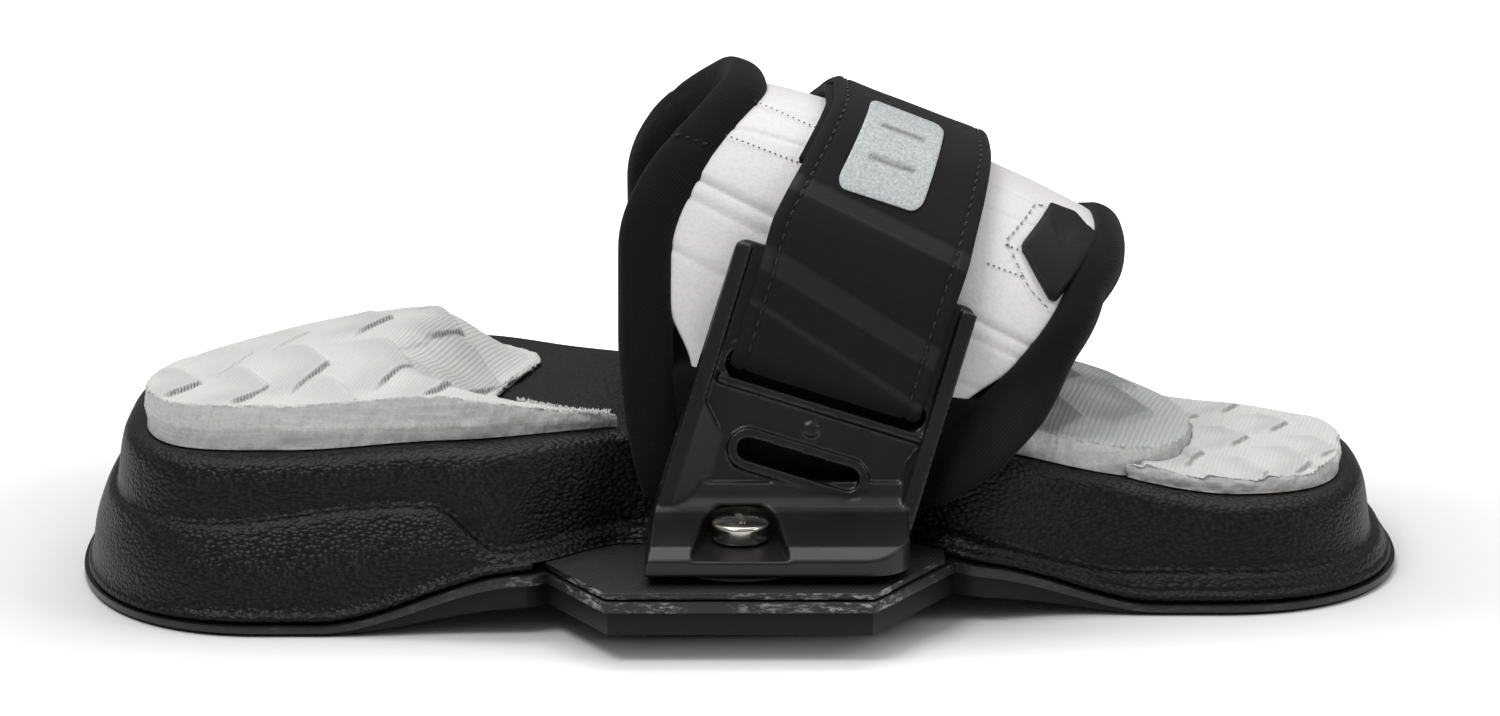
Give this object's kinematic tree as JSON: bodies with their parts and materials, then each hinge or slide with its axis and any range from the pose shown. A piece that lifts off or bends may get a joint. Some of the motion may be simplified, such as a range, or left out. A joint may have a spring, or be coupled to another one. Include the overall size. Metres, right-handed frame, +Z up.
{
  "type": "strapped foot binding",
  "caption": "Foot binding with a cambered footpad, heel, ball and toe cushions, two screw-down side brackets and a padded strap with a belt over the instep.",
  "frame": {"origin": "middle of the object's outline, on the plane of the board's top face, where the sole's heel and toe ends rest", "axes": "+X along the foot towards the toes, +Y across to the far side, +Z up from the board"},
  "size_m": [0.2866, 0.168, 0.1066],
  "materials": {
    "sole_rubber": "smooth soft black sole mat",
    "base_plastic": "black moulded sheet with worn, lightly polished edge",
    "plate_plastic": "black plate with a fine mesh texture",
    "pad_foam": "moulded black EVA foam with a leather grain",
    "cushion_white": "white ribbed fabric over grey-white open-cell foam",
    "cushion_grey": "grey ribbed fabric over grey-white foam",
    "disc_plastic": "smooth black plastic",
    "bracket_nylon": "satin black moulded glass-filled nylon",
    "screw_steel": "polished stainless steel",
    "strap_neoprene": "black knit-faced neoprene",
    "strap_leather": "white synthetic leather with embossed lines and perforations",
    "belt_webbing": "black brushed microfibre with stitched edges",
    "hook_tape": "black hook tape",
    "patch_pale": "pale grey dotted reflective film",
    "tab_rubber": "matt black rubber"
  },
  "bodies": {
    "root": {"sole_mat": "sole_rubber", "base_sheet": "base_plastic", "base_plate": "plate_plastic", "pad_body": "pad_foam", "heel_cushion": "cushion_white", "ball_cushion": "cushion_grey", "toe_cushion": "cushion_white", "near_swivel_disc": "disc_plastic", "far_swivel_disc": "disc_plastic", "strap_lining": "strap_neoprene", "ankle_edging": "strap_neoprene", "toe_edging": "strap_neoprene", "strap_shell": "strap_leather", "crown_belt": "belt_webbing", "belt_underlay": "belt_webbing", "reflective_patch": "patch_pale", "side_tab": "tab_rubber"},
    "near_side_bracket": {"near_bracket": "bracket_nylon", "near_belt_leg": "belt_webbing"},
    "far_side_bracket": {"far_bracket": "bracket_nylon", "far_belt_leg": "belt_webbing", "hook_patch": "hook_tape"},
    "belt_end": {"pull_tab": "belt_webbing"},
    "near_clamp_screw": {"near_screw": "screw_steel"},
    "far_clamp_screw": {"far_screw": "screw_steel"}
  },
  "joints": [
    {"name": "near_bracket_swivel", "type": "hinge", "parent": "root", "child": "near_side_bracket", "pos_m": [0, -0.062, 0.0166], "axis": [0, 0, 1], "range_deg": [-2, 2]},
    {"name": "far_bracket_swivel", "type": "hinge", "parent": "root", "child": "far_side_bracket", "pos_m": [0, 0.062, 0.0166], "axis": [0, 0, 1], "range_deg": [-2, 2]},
    {"name": "belt_end_peel", "type": "hinge", "parent": "far_side_bracket", "child": "belt_end", "pos_m": [0.01894, 0.05198, 0.05391], "axis": [-0.9563, -0.0608, 0.286], "range_deg": [0, 110]},
    {"name": "near_screw_turn", "type": "hinge", "parent": "root", "child": "near_clamp_screw", "pos_m": [0, -0.062, 0.0166], "axis": [0, 0, 1], "continuous": true},
    {"name": "far_screw_turn", "type": "hinge", "parent": "root", "child": "far_clamp_screw", "pos_m": [0, 0.062, 0.0166], "axis": [0, 0, 1], "continuous": true}
  ]
}
